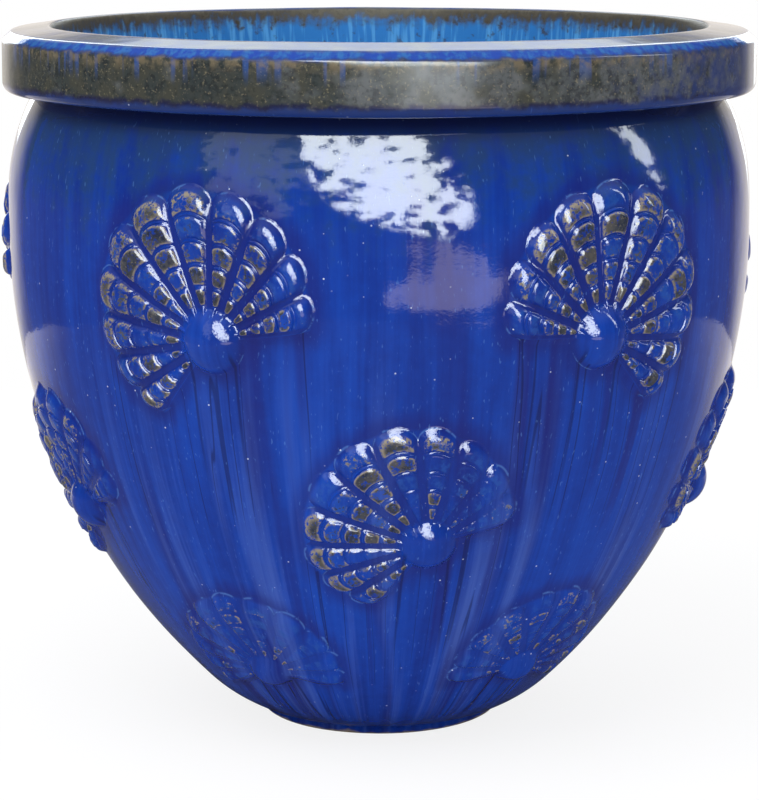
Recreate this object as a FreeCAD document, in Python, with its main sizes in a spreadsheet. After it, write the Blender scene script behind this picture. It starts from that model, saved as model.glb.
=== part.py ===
"""Glazed stoneware planter: base slab, thrown wall, heavy rim ring and three rows of scallop-shell sprigs.

Millimetres and degrees. The origin is the middle of the foot, +Z is up and the front faces -Y.
"""
import FreeCAD
import Part
import Sketcher
import functools
import math
import os
from types import SimpleNamespace

Vector = FreeCAD.Vector

# Driving dimensions: name, value, what it measures
DIMENSIONS = (
    ("overall_height", 600, "ground to the inner edge of the rim"),
    ("belly_radius", 317, "outside of the wall at its widest"),
    ("belly_band", 30, "upright stretch between flank and shoulder"),
    ("shoulder_height", 90, "upright band to the neck"),
    ("neck_inset", 23.5, "how far the shoulder draws in below the rim"),
    ("wall_thickness", 22, "clay of the wall"),
    ("foot_radius", 104, "outside of the foot"),
    ("foot_height", 6, "upright edge of the foot"),
    ("heel_radius", 140, "turn from the foot into the flank"),
    ("heel_fullness", 26, "how much flatter the flank is than one arc down to the foot"),
    ("floor_thickness", 32, "clay of the floor, foot included"),
    ("foot_ring_width", 20, "ring that the pot stands on"),
    ("recess_depth", 5, "turned recess inside the foot ring"),
    ("drain_radius", 20, "hole through the floor"),
    ("rim_height", 55, "neck to the inner edge of the rim"),
    ("rim_overhang", 26.5, "rim beyond the neck, outside"),
    ("rim_flare", 6.5, "how far the mouth widens from the neck to the rim's top"),
    ("rim_round", 8, "rounding under the rim's outer face"),
    ("rim_bevel", 8, "bevel at the rim's outer top edge, measured across"),
    ("rim_bevel_drop", 7, "the same bevel, measured down"),
    ("rim_fall", 5, "fall of the rim's top from the mouth to the bevel"),
    ("lip_round", 4, "rounding at the mouth"),
    ("upper_row_drop", 177, "neck to the upper bosses, along the wall"),
    ("lower_row_rise", 114, "foot to the lower bosses, along the wall"),
    ("middle_row_drop", 8, "middle bosses below the halfway line between the other rows"),
    ("middle_row_scale", 0.9, "size of the middle row's sprigs against the upper ones"),
    ("lower_row_scale", 0.75, "size of the lower row's sprigs against the upper ones"),
    ("fan_radius", 95, "circle around a shell's fan"),
    ("boss_offset", 27, "boss below the middle of that circle"),
    ("fan_spread", 224, "angle from the first lobe's edge to the last one's"),
    ("lobe_count", 11, "lobes of a fan"),
    ("lobe_relief", 11, "height of a lobe's crown at its outer end"),
    ("valley_relief", 4, "height of the valley between two lobes, at its outer end"),
    ("band_count", 6, "growth bands along a lobe"),
    ("band_step", 2, "step from one growth band to the next"),
    ("boss_radius", 26, "dome at the hinge of the shell"),
    ("boss_relief", 15, "height of that dome"),
    ("sprig_key", 6, "how deep a sprig is drawn into the wall before it is trimmed to its seat"),
)
# Sizes that the smaller moulds of the lower rows scale
SPRIG_SIZES = (
    "fan_radius", "boss_offset", "lobe_relief", "valley_relief", "band_step", "boss_radius", "boss_relief",
)

# Sprigs are set by eye: azimuth from the front, positive to the right; lean, positive to the left
SHELL_ROWS = {
    "upper": ((-24, 30), (33, -25), (110, 30), (185, -25), (260, 30)),
    "middle": ((8, 38), (81, 5), (153, 38), (225, 5), (297, 38)),
    "lower": ((-28, 10), (37, -10), (108, 10), (182, -10), (257, 10)),
}

# Shape of a lobe, as shares of its length or relief
INNER_SHARE = 0.6       # where the fan starts under the boss, against the boss
INNER_RELIEF = 0.5      # relief at the hinge, against the outer end
NOTCH_SHARE = 0.89      # reach of a valley, against its lobes
BAND_GROWTH = 1.2       # bands lengthen outwards
STEP_RUN = 0.02         # run of the slope between two bands
NOSE = ((0.94, 1.0), (0.985, 0.75), (1.0, 0.4))     # rounded outer end: share of length, share of relief

# Lengths that follow from the sheet
NECK_RADIUS = "(sizes.belly_radius - sizes.neck_inset)"
NECK_HEIGHT = "(sizes.overall_height - sizes.rim_height)"
BAND_TOP = f"({NECK_HEIGHT} - sizes.shoulder_height)"
BELLY_HEIGHT = f"({BAND_TOP} - sizes.belly_band)"
FLANK_RADIUS = (
    f"(({BELLY_HEIGHT} - sizes.foot_height)^2 + (sizes.belly_radius - sizes.foot_radius)^2)"
    " / (2 * (sizes.belly_radius - sizes.foot_radius)) + sizes.heel_fullness"
)
RIM_INSIDE = f"({NECK_RADIUS} - sizes.wall_thickness)"
RIM_OUTSIDE = f"({NECK_RADIUS} + sizes.rim_overhang)"
MOUTH_RADIUS = f"({RIM_INSIDE} + sizes.rim_flare)"

START, END, CENTRE = 1, 2, 3    # points of a line or arc in a sketch
ORIGIN = (-1, 1)                # the sketch's own origin


def make_sheet(doc):
    """Put the driving dimensions in a sheet and return them by name too."""
    sheet = doc.addObject("Spreadsheet::Sheet", "sizes")
    for row, (alias, value, meaning) in enumerate(DIMENSIONS, start=1):
        sheet.set(f"A{row}", meaning)
        sheet.set(f"B{row}", str(value))
        sheet.setAlias(f"B{row}", alias)
    doc.recompute()
    return SimpleNamespace(**{alias: float(sheet.get(alias)) for alias, _, _ in DIMENSIONS})


class WallOutline:
    """Outer outline of the wall as (radius, height): heel, flank, upright band and shoulder."""

    def __init__(self, size):
        self.foot = (size.foot_radius, size.foot_height)
        self.neck = (size.belly_radius - size.neck_inset, size.overall_height - size.rim_height)
        self.band = size.belly_band
        self.band_top = (size.belly_radius, self.neck[1] - size.shoulder_height)
        self.belly = (size.belly_radius, self.band_top[1] - self.band)

        climb, inset = size.shoulder_height, size.neck_inset
        self.shoulder_radius = (climb ** 2 + inset ** 2) / (2 * inset)
        self.shoulder_centre = (self.belly[0] - self.shoulder_radius, self.band_top[1])
        self.neck_length = self.band + self.shoulder_radius * math.asin(climb / self.shoulder_radius)

        rise, spread = self.belly[1] - self.foot[1], self.belly[0] - self.foot[0]
        self.flank_radius = (rise ** 2 + spread ** 2) / (2 * spread) + size.heel_fullness
        self.flank_centre = (self.belly[0] - self.flank_radius, self.belly[1])

        # The heel's circle touches the flank's from inside and passes through the foot's upper corner
        self.heel_radius = size.heel_radius
        reach = self.flank_radius - self.heel_radius
        away = Vector(self.foot[0] - self.flank_centre[0], self.foot[1] - self.flank_centre[1])
        along = (reach ** 2 - self.heel_radius ** 2 + away.Length ** 2) / (2 * away.Length)
        across = math.sqrt(reach ** 2 - along ** 2)
        away.normalize()
        towards = Vector(along * away.x - across * away.y, along * away.y + across * away.x)
        self.heel_centre = (self.flank_centre[0] + towards.x, self.flank_centre[1] + towards.y)
        self.heel_angle = math.atan2(towards.y, towards.x)
        self.heel_top = self.heel_angle * self.flank_radius
        foot_angle = math.atan2(self.foot[1] - self.heel_centre[1], self.foot[0] - self.heel_centre[0])
        self.foot_length = self.heel_top - (self.heel_angle - foot_angle) * self.heel_radius

    def point_at(self, length, lift=0.0):
        """Radius and height at a length up from the widest point, lifted off the wall square to it."""
        if 0 <= length <= self.band:
            return self.belly[0] + lift, self.belly[1] + length
        if length > self.band:
            centre, radius = self.shoulder_centre, self.shoulder_radius
            angle = (length - self.band) / radius
        elif length > self.heel_top:
            centre, radius = self.flank_centre, self.flank_radius
            angle = length / radius
        else:
            centre, radius = self.heel_centre, self.heel_radius
            angle = self.heel_angle + (length - self.heel_top) / radius
        return centre[0] + (radius + lift) * math.cos(angle), centre[1] + (radius + lift) * math.sin(angle)


class Section:
    """A sketch on one of the body's own planes, drawn as a closed chain and sized from the sheet."""

    def __init__(self, body, name, plane="XZ_Plane"):
        self.sketch = body.newObject("Sketcher::SketchObject", name)
        support = next(feature for feature in body.Origin.OriginFeatures if feature.Role == plane)
        self.sketch.AttachmentSupport = (support, [""])
        self.sketch.MapMode = "FlatFace"

    def line(self, start, end):
        return self.sketch.addGeometry(Part.LineSegment(Vector(*start, 0), Vector(*end, 0)))

    def arc(self, centre, start, end):
        """Anticlockwise arc from start to end."""
        angles = [math.atan2(y - centre[1], x - centre[0]) for x, y in (start, end)]
        circle = Part.Circle(Vector(*centre, 0), Vector(0, 0, 1), math.dist(centre, start))
        return self.sketch.addGeometry(Part.ArcOfCircle(circle, *angles))

    def circle(self, radius):
        return self.sketch.addGeometry(Part.Circle(Vector(), Vector(0, 0, 1), radius))

    def rules(self, *constraints):
        for kind, *where in constraints:
            self.sketch.addConstraint(Sketcher.Constraint(kind, *where))

    def size(self, kind, where, name, value, formula):
        """A dimension that follows the sheet; the value is only where the solver starts."""
        index = self.sketch.addConstraint(Sketcher.Constraint(kind, *where, value))
        self.sketch.renameConstraint(index, name)
        self.sketch.setExpression(f"Constraints.{name}", formula)

    def place(self, edge, end, name, point, radius_formula=None, height_formula=None):
        """Give a corner its radius from the axis and its height from the ground."""
        if radius_formula:
            self.size("DistanceX", (*ORIGIN, edge, end), f"{name}_radius", point[0], radius_formula)
        if height_formula:
            self.size("DistanceY", (*ORIGIN, edge, end), f"{name}_height", point[1], height_formula)


def draw_heel_and_flank(section, outline):
    """Foot edge, heel and flank, from the ground up to the widest point."""
    ground_point = (outline.foot[0], 0)
    heel_top = outline.point_at(outline.heel_top)
    foot = section.line(ground_point, outline.foot)
    heel = section.arc(outline.heel_centre, outline.foot, heel_top)
    flank = section.arc(outline.flank_centre, heel_top, outline.belly)
    section.rules(
        ("Vertical", foot),
        ("PointOnObject", foot, START, -1),
        ("Coincident", foot, END, heel, START),
        ("Tangent", heel, END, flank, START),
    )
    section.place(foot, START, "foot", ground_point, "sizes.foot_radius")
    section.size("DistanceY", (foot, START, foot, END), "foot_edge", outline.foot[1], "sizes.foot_height")
    section.size("Radius", (heel,), "heel", outline.heel_radius, "sizes.heel_radius")
    section.size("Radius", (flank,), "flank", outline.flank_radius, FLANK_RADIUS)
    section.place(flank, END, "belly", outline.belly, "sizes.belly_radius", BELLY_HEIGHT)
    return foot, flank


def revolve(body, section, name):
    feature = body.newObject("PartDesign::Revolution", name)
    feature.Profile = section.sketch
    feature.ReferenceAxis = (section.sketch, ["V_Axis"])
    feature.Angle = 360


def pocket_circle(body, name, radius, radius_formula, height_formula, upwards=False):
    """Cut all clay inside a circle, from a level plane downwards or upwards."""
    section = Section(body, f"{name}_circle", "XY_Plane")
    circle = section.circle(radius)
    section.rules(("Coincident", circle, CENTRE, *ORIGIN))
    section.size("Radius", (circle,), "radius", radius, radius_formula)
    section.sketch.setExpression("AttachmentOffset.Base.z", height_formula)
    feature = body.newObject("PartDesign::Pocket", name)
    feature.Profile = section.sketch
    feature.Type = "ThroughAll"
    feature.Reversed = upwards


def make_base_slab(doc, size, outline):
    """Floor disc with the heel's outer curve, a turned recess and the drain hole."""
    body = doc.addObject("PartDesign::Body", "base_slab")
    section = Section(body, "slab_section")
    top_middle = (0, outline.belly[1])
    foot, flank = draw_heel_and_flank(section, outline)
    ground = section.line((0, 0), (size.foot_radius, 0))
    cover = section.line(outline.belly, top_middle)
    axis = section.line(top_middle, (0, 0))
    section.rules(
        ("Coincident", ground, START, *ORIGIN),
        ("Coincident", ground, END, foot, START),
        ("Coincident", flank, END, cover, START),
        ("Coincident", cover, END, axis, START),
        ("Coincident", axis, END, ground, START),
        ("Horizontal", cover),
        ("Vertical", axis),
        ("PointOnObject", flank, CENTRE, cover),
    )
    revolve(body, section, "slab_blank")
    recess_radius = size.foot_radius - size.foot_ring_width
    recess_formula = "sizes.foot_radius - sizes.foot_ring_width"
    floor_formula = "sizes.floor_thickness"
    pocket_circle(body, "floor_level", size.belly_radius, "sizes.belly_radius", floor_formula, upwards=True)
    pocket_circle(body, "foot_recess", recess_radius, recess_formula, "sizes.recess_depth")
    pocket_circle(body, "drain_hole", size.drain_radius, "sizes.drain_radius", floor_formula)
    return body


def make_pot_wall(doc, size, outline):
    """Wall from the floor to the neck, with a level seat at each end."""
    body = doc.addObject("PartDesign::Body", "pot_wall")
    section = Section(body, "wall_section")
    inner_radius = outline.belly[0] - size.wall_thickness
    inner_belly = (inner_radius, outline.belly[1])
    inner_band_top = (inner_radius, outline.band_top[1])
    inner_neck = (outline.neck[0] - size.wall_thickness, outline.neck[1])
    inner_shoulder_centre = (outline.shoulder_centre[0] - size.wall_thickness, outline.shoulder_centre[1])
    fall = outline.belly[1] - size.floor_thickness
    inner_span = math.sqrt((outline.flank_radius - size.wall_thickness) ** 2 - fall ** 2)
    floor_edge = (outline.flank_centre[0] + inner_span, size.floor_thickness)

    foot, flank = draw_heel_and_flank(section, outline)
    band = section.line(outline.belly, outline.band_top)
    shoulder = section.arc(outline.shoulder_centre, outline.band_top, outline.neck)
    seat = section.line(outline.neck, inner_neck)
    inner_shoulder = section.arc(inner_shoulder_centre, inner_band_top, inner_neck)
    inner_band = section.line(inner_band_top, inner_belly)
    inner_flank = section.arc(outline.flank_centre, floor_edge, inner_belly)
    heel_cut = section.line(floor_edge, (size.foot_radius, 0))
    section.rules(
        ("Tangent", flank, END, band, START),
        ("Vertical", band),
        ("Tangent", band, END, shoulder, START),
        ("Coincident", shoulder, END, seat, START),
        ("Horizontal", seat),
        ("Coincident", seat, END, inner_shoulder, END),
        ("Tangent", inner_shoulder, START, inner_band, START),
        ("Vertical", inner_band),
        ("Tangent", inner_band, END, inner_flank, END),
        ("Coincident", inner_flank, CENTRE, flank, CENTRE),
        ("Coincident", inner_flank, START, heel_cut, START),
        ("Coincident", heel_cut, END, foot, START),
    )
    section.place(band, END, "band", outline.band_top, None, BAND_TOP)
    section.place(shoulder, END, "neck", outline.neck, NECK_RADIUS, NECK_HEIGHT)
    section.place(seat, END, "inner_neck", inner_neck, RIM_INSIDE)
    inner_formula = "sizes.belly_radius - sizes.wall_thickness"
    section.place(inner_band, START, "inner_band", inner_band_top, inner_formula, BAND_TOP)
    section.place(inner_flank, START, "floor", floor_edge, None, "sizes.floor_thickness")
    revolve(body, section, "wall_blank")
    pocket_circle(body, "floor_seat", size.belly_radius, "sizes.belly_radius", "sizes.floor_thickness")
    return body


def make_rim_ring(doc, size, outline):
    """Heavy squared rim, laid on the neck, with a bevelled top edge and a rounded lower one."""
    body = doc.addObject("PartDesign::Body", "rim_ring")
    section = Section(body, "rim_section")
    inside, bottom = outline.neck[0] - size.wall_thickness, outline.neck[1]
    outside, top = outline.neck[0] + size.rim_overhang, size.overall_height
    mouth = inside + size.rim_flare
    bevel_height = top - size.rim_fall
    seat_inner = (inside, bottom)
    seat_outer = (outside - size.rim_round, bottom)
    face_bottom = (outside, bottom + size.rim_round)
    face_top = (outside, bevel_height - size.rim_bevel_drop)
    bevel_top = (outside - size.rim_bevel, bevel_height)
    lip_top = (mouth + size.lip_round, top)
    lip_side = (mouth, top - size.lip_round)

    seat = section.line(seat_inner, seat_outer)
    under = section.arc((seat_outer[0], face_bottom[1]), seat_outer, face_bottom)
    face = section.line(face_bottom, face_top)
    bevel = section.line(face_top, bevel_top)
    crown = section.line(bevel_top, lip_top)
    lip = section.arc((lip_top[0], lip_side[1]), lip_top, lip_side)
    throat = section.line(lip_side, seat_inner)
    section.rules(
        ("Horizontal", seat),
        ("Tangent", seat, END, under, START),
        ("Tangent", under, END, face, START),
        ("Vertical", face),
        ("Coincident", face, END, bevel, START),
        ("Coincident", bevel, END, crown, START),
        ("Coincident", crown, END, lip, START),
        ("Coincident", lip, END, throat, START),
        ("Coincident", throat, END, seat, START),
    )
    bevel_formula = "sizes.overall_height - sizes.rim_fall"
    section.place(seat, START, "seat", seat_inner, RIM_INSIDE, NECK_HEIGHT)
    section.size("Radius", (under,), "under", size.rim_round, "sizes.rim_round")
    section.place(face, END, "face", face_top, RIM_OUTSIDE, f"{bevel_formula} - sizes.rim_bevel_drop")
    section.place(bevel, END, "bevel", bevel_top, f"{RIM_OUTSIDE} - sizes.rim_bevel", bevel_formula)
    section.place(lip, START, "lip_top", lip_top, f"{MOUTH_RADIUS} + sizes.lip_round", "sizes.overall_height")
    section.place(lip, END, "lip_side", lip_side, MOUTH_RADIUS, "sizes.overall_height - sizes.lip_round")
    section.size("Radius", (lip,), "lip", size.lip_round, "sizes.lip_round")
    revolve(body, section, "rim_blank")
    return body


def lobe_stations(sprig):
    """Stations along a lobe: share of its length, crown height and valley height."""
    bands = int(sprig.band_count)
    edges = [(index / bands) ** BAND_GROWTH for index in range(bands + 1)]
    profile = []
    for start, end in zip(edges, edges[1:]):
        profile.append((start + (STEP_RUN if start else 0.0), 1.0, 0.0))
        profile.append((end, 1.0, sprig.band_step))
    profile.pop()
    profile += [(share, relief, sprig.band_step * relief) for share, relief in NOSE]
    stations = []
    for share, relief, step in profile:
        rise = relief * (INNER_RELIEF + (1 - INNER_RELIEF) * share)
        crown = sprig.lobe_relief * rise - sprig.band_step * relief + step
        stations.append((share, crown, sprig.valley_relief * rise))
    return stations


def make_fan(sprig, wrap):
    """Closed solid of a shell's lobes; wrap lays (angle, distance, lift) on the wall."""
    lobes = int(sprig.lobe_count)
    lobe_width = sprig.fan_spread / lobes
    inner = INNER_SHARE * sprig.boss_radius
    valley_angles = [lobe_width * index - sprig.fan_spread / 2 for index in range(lobes + 1)]
    crown_angles = [angle + lobe_width / 2 for angle in valley_angles[:-1]]

    def distance(angle, share, reach_share=1.0):
        turn = math.radians(angle)
        chord = math.sqrt(sprig.fan_radius ** 2 - (sprig.boss_offset * math.sin(turn)) ** 2)
        reach = sprig.boss_offset * math.cos(turn) + chord
        return inner + share * (reach_share * reach - inner)

    arcs, chords, valleys, keys = [], [], [], []
    for share, crown_lift, valley_lift in lobe_stations(sprig):
        tops = [wrap(angle, distance(angle, share), crown_lift) for angle in crown_angles]
        ends = [(angle, distance(angle, share, NOTCH_SHARE)) for angle in valley_angles]
        valleys.append([wrap(*end, valley_lift) for end in ends])
        keys.append([wrap(*end, -sprig.sprig_key) for end in ends])
        arcs.append([Part.Arc(*three).toShape() for three in zip(valleys[-1], tops, valleys[-1][1:])])
        chords.append([Part.makeLine(*pair) for pair in zip(keys[-1], keys[-1][1:])])

    pairs = []
    for rows in (arcs, chords):
        for near, far in zip(rows, rows[1:]):
            pairs += zip(near, far)
    for end in (0, -1):
        pairs += zip(arcs[end], chords[end])
    for side in (0, -1):
        upper, lower = [[Part.makeLine(near[side], far[side]) for near, far in zip(rows, rows[1:])]
                        for rows in (valleys, keys)]
        pairs += zip(upper, lower)
    skin = Part.makeCompound([Part.makeRuledSurface(first, second) for first, second in pairs])
    skin.sewShape()
    fan = Part.makeSolid(skin.Shells[0])
    if fan.Volume < 0:
        fan.reverse()
    return fan


def make_boss(sprig, wrap):
    """Domed boss: a cap of a ball that stands on the wall, with its flat side below the surface."""
    ball_radius = (sprig.boss_radius ** 2 + sprig.boss_relief ** 2) / (2 * sprig.boss_relief)
    sunk = ball_radius - sprig.boss_relief
    centre = wrap(0, 0, -sunk)
    outward = wrap(0, 0, sprig.boss_relief) - centre
    flat_side = math.degrees(math.asin((sunk - sprig.sprig_key) / ball_radius))
    return Part.makeSphere(ball_radius, centre, outward, flat_side, 90, 360)


def make_shell_sprig(sprig, outline, wall, boss_length, lean):
    """Fan and boss in one pressing, at the front of the pot, trimmed to the wall's own curve."""
    def wrap(angle, distance, lift):
        turn = math.radians(angle - lean)
        length = boss_length + distance * math.cos(turn)
        around = distance * math.sin(turn) / outline.point_at(length)[0]
        radius, height = outline.point_at(length, lift)
        return Vector(radius * math.sin(around), -radius * math.cos(around), height)

    return make_fan(sprig, wrap).fuse(make_boss(sprig, wrap)).cut(wall).Solids


def make_shells(doc, size, outline, wall):
    """Three rows of sprigs; those of one row and lean are the same pressing, turned about the axis."""
    upper = outline.neck_length - size.upper_row_drop
    lower = outline.foot_length + size.lower_row_rise
    boss_lengths = {"upper": upper, "middle": (upper + lower) / 2 - size.middle_row_drop, "lower": lower}
    scales = {"upper": 1.0, "middle": size.middle_row_scale, "lower": size.lower_row_scale}

    @functools.cache
    def pressing(row, lean):
        scaled = {name: getattr(size, name) * scales[row] for name in SPRIG_SIZES}
        sprig = SimpleNamespace(**{**vars(size), **scaled})
        return make_shell_sprig(sprig, outline, wall, boss_lengths[row], lean)

    shells = []
    for row, settings in SHELL_ROWS.items():
        for number, (azimuth, lean) in enumerate(settings, start=1):
            shell = doc.addObject("Part::Feature", f"shell_{row}_{number}")
            shell.Shape = Part.makeCompound(pressing(row, lean))
            shell.Placement = FreeCAD.Placement(Vector(), FreeCAD.Rotation(Vector(0, 0, 1), azimuth))
            shells.append(shell)
    return shells


def check(doc, pieces):
    """Stop before anything is written if a feature failed or a piece isn't one sound solid."""
    failed = [item.Label for item in doc.Objects if {"Invalid", "Error"} & set(item.State)]
    if failed:
        raise RuntimeError(f"features failed: {failed}")
    for piece in pieces:
        if piece.Shape.isNull() or not piece.Shape.isValid() or len(piece.Shape.Solids) != 1:
            raise RuntimeError(f"{piece.Label} is not one sound solid")


def main():
    doc = FreeCAD.newDocument("planter")
    size = make_sheet(doc)
    outline = WallOutline(size)
    slab = make_base_slab(doc, size, outline)
    wall = make_pot_wall(doc, size, outline)
    rim = make_rim_ring(doc, size, outline)
    doc.recompute()
    pieces = [slab, wall, rim] + make_shells(doc, size, outline, wall.Shape)
    doc.recompute()
    check(doc, pieces)
    os.makedirs("parts", exist_ok=True)
    for piece in pieces:
        piece.Shape.exportStep(f"parts/{piece.Label}.step")
        print(piece.Label, "faces", len(piece.Shape.Faces), "volume", round(piece.Shape.Volume))


main()
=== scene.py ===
"""Looks of a glazed stoneware planter with three rows of scallop-shell sprigs.

Metres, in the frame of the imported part: origin in the middle of the foot, +Z up, front towards -Y.
"""
import math

import bpy
import numpy as np
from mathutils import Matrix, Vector


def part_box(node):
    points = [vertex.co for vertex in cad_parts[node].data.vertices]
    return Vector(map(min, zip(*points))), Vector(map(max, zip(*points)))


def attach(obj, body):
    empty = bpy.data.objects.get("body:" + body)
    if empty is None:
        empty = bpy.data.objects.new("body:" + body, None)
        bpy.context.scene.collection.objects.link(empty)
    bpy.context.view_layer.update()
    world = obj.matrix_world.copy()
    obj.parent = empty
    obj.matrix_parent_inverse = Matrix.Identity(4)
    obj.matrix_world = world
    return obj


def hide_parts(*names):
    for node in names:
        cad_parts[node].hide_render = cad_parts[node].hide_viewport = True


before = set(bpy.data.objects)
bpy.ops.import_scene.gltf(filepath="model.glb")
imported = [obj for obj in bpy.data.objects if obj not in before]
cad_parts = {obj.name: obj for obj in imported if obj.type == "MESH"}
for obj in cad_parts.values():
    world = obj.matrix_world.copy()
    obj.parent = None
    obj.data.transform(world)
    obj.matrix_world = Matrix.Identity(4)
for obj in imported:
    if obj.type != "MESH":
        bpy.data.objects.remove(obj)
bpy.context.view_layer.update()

MM = 0.001
DEGREE = math.pi / 180

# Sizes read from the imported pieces
WALL_LOW, WALL_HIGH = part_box("pot_wall")
RIM_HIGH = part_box("rim_ring")[1]
BELLY_RADIUS = WALL_HIGH.x
NECK_HEIGHT = WALL_HIGH.z
FLOOR_HEIGHT = WALL_LOW.z
RIM_RADIUS = RIM_HIGH.x
RIM_TOP = RIM_HIGH.z

# Wall and foot
BELLY_BAND = 30 * MM  # upright stretch between flank and shoulder
SHOULDER_HEIGHT = 90 * MM
NECK_INSET = 23.5 * MM
WALL_THICKNESS = 22 * MM
FOOT_RADIUS = 104 * MM
FOOT_HEIGHT = 6 * MM
HEEL_RADIUS = 140 * MM
HEEL_FULLNESS = 26 * MM
FOOT_RING_WIDTH = 20 * MM
RECESS_DEPTH = 5 * MM
DRAIN_RADIUS = 20 * MM

# Rim
RIM_FLARE = 6.5 * MM
RIM_ROUND = 8 * MM  # under the outer face
RIM_BEVEL = 8 * MM
RIM_BEVEL_DROP = 7 * MM
RIM_FALL = 5 * MM
LIP_ROUND = 4 * MM
ARRIS_ROUND = 2.5 * MM  # glaze softens every clay edge

# Sprigs
UPPER_ROW_DROP = 177 * MM
LOWER_ROW_RISE = 114 * MM
MIDDLE_ROW_DROP = 8 * MM
FAN_RADIUS = 95 * MM
BOSS_OFFSET = 27 * MM
FAN_SPREAD = 224 * DEGREE
LOBE_COUNT = 11
LOBE_RELIEF = 11 * MM
VALLEY_RELIEF = 4 * MM
BAND_COUNT = 6
BAND_STEP = 2 * MM
BOSS_RADIUS = 26 * MM
BOSS_RELIEF = 15 * MM
SPRIG_KEY = 6 * MM
ROW_SCALES = {"upper": 1.0, "middle": 0.9, "lower": 0.75}
# Each sprig: azimuth from the front, positive to the right; lean, positive to the left;
# how far glaze floods its relief; how much more it does so towards the right
SHELL_ROWS = {
    "upper": (
        (-24, 30, 0.0, 0.0), (33, -25, 0.0, 0.0), (110, 30, 0.0, 0.1),
        (185, -25, 0.1, 0.0), (260, 30, 0.0, -0.1),
    ),
    "middle": (
        (8, 38, 0.35, 0.7), (81, 5, 0.2, 0.2), (153, 38, 0.3, 0.5),
        (225, 5, 0.1, 0.1), (297, 38, 0.3, 0.3),
    ),
    "lower": (
        (-28, 10, 0.65, 0.1), (37, -10, 0.45, -0.2), (108, 10, 0.75, 0.1),
        (182, -10, 0.8, 0.0), (257, 10, 0.7, 0.1),
    ),
}

# Spacing of the meshes
OUTER_STEP = 5 * MM
INNER_STEP = 12 * MM
RIM_STEP = 3.5 * MM
ARC_STEP = 1 * MM
PATH_STEP = 2 * MM
LENGTH_STEPS = 2000
STEPS_AROUND = 400
SPRIG_COLUMNS = 300
SPRIG_ROWS = 150


class Outline:
    """Outer outline of the wall as (radius, height), by a length counted up from the widest point."""

    def __init__(self):
        self.foot = (FOOT_RADIUS, FOOT_HEIGHT)
        self.band_top = NECK_HEIGHT - SHOULDER_HEIGHT
        self.belly_height = self.band_top - BELLY_BAND
        self.shoulder_radius = (SHOULDER_HEIGHT ** 2 + NECK_INSET ** 2) / (2 * NECK_INSET)
        shoulder_angle = math.asin(SHOULDER_HEIGHT / self.shoulder_radius)
        self.neck_length = BELLY_BAND + self.shoulder_radius * shoulder_angle
        rise, spread = self.belly_height - FOOT_HEIGHT, BELLY_RADIUS - FOOT_RADIUS
        self.flank_radius = (rise ** 2 + spread ** 2) / (2 * spread) + HEEL_FULLNESS
        self.flank_centre = (BELLY_RADIUS - self.flank_radius, self.belly_height)
        self.join_heel()

    def join_heel(self):
        """Heel's circle, which touches the flank's from inside and meets the foot's upper corner."""
        reach = self.flank_radius - HEEL_RADIUS
        away = Vector(self.foot) - Vector(self.flank_centre)
        along = (reach ** 2 - HEEL_RADIUS ** 2 + away.length ** 2) / (2 * away.length)
        across = math.sqrt(reach ** 2 - along ** 2)
        away.normalize()
        towards = Vector((along * away.x - across * away.y, along * away.y + across * away.x))
        self.heel_centre = (self.flank_centre[0] + towards.x, self.flank_centre[1] + towards.y)
        self.heel_angle = math.atan2(towards.y, towards.x)
        self.heel_top = self.heel_angle * self.flank_radius
        foot_angle = math.atan2(self.foot[1] - self.heel_centre[1], self.foot[0] - self.heel_centre[0])
        self.foot_length = self.heel_top - (self.heel_angle - foot_angle) * HEEL_RADIUS

    def point_at(self, length):
        if 0 <= length <= BELLY_BAND:
            return BELLY_RADIUS, self.belly_height + length
        if length > BELLY_BAND:
            centre, radius = (BELLY_RADIUS - self.shoulder_radius, self.band_top), self.shoulder_radius
            angle = (length - BELLY_BAND) / radius
        elif length > self.heel_top:
            centre, radius, angle = self.flank_centre, self.flank_radius, length / self.flank_radius
        else:
            centre, radius = self.heel_centre, HEEL_RADIUS
            angle = self.heel_angle + (length - self.heel_top) / radius
        return centre[0] + radius * math.cos(angle), centre[1] + radius * math.sin(angle)

    def stretch(self, start, end, step):
        """Points between two lengths, both ends included."""
        count = max(1, round(abs(end - start) / step))
        return [self.point_at(start + (end - start) * index / count) for index in range(count + 1)]

    def length_at(self, heights):
        """Lengths at the given heights."""
        lengths = np.linspace(self.foot_length, self.neck_length, LENGTH_STEPS)
        return np.interp(heights, [self.point_at(length)[1] for length in lengths], lengths)


outline = Outline()
FLOOR_LENGTH = float(outline.length_at(FLOOR_HEIGHT))
UPPER_LENGTH = outline.neck_length - UPPER_ROW_DROP
LOWER_LENGTH = outline.foot_length + LOWER_ROW_RISE
MIDDLE_LENGTH = (UPPER_LENGTH + LOWER_LENGTH) / 2 - MIDDLE_ROW_DROP
ROW_LENGTHS = {"upper": UPPER_LENGTH, "middle": MIDDLE_LENGTH, "lower": LOWER_LENGTH}


def rounded_corner(before, here, after, rounding):
    """Points of the arc that rounds a corner."""
    back, ahead = (before - here).normalized(), (after - here).normalized()
    half = back.angle(ahead) / 2
    centre = here + (back + ahead).normalized() * (rounding / math.sin(half))
    first = here + back * (rounding / math.tan(half)) - centre
    last = here + ahead * (rounding / math.tan(half)) - centre
    whole = first.angle(last)
    count = max(2, round(rounding * whole / ARC_STEP))
    shares = [number / count for number in range(count + 1)]
    return [
        centre + (first * math.sin((1 - share) * whole) + last * math.sin(share * whole)) / math.sin(whole)
        for share in shares
    ]


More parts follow.
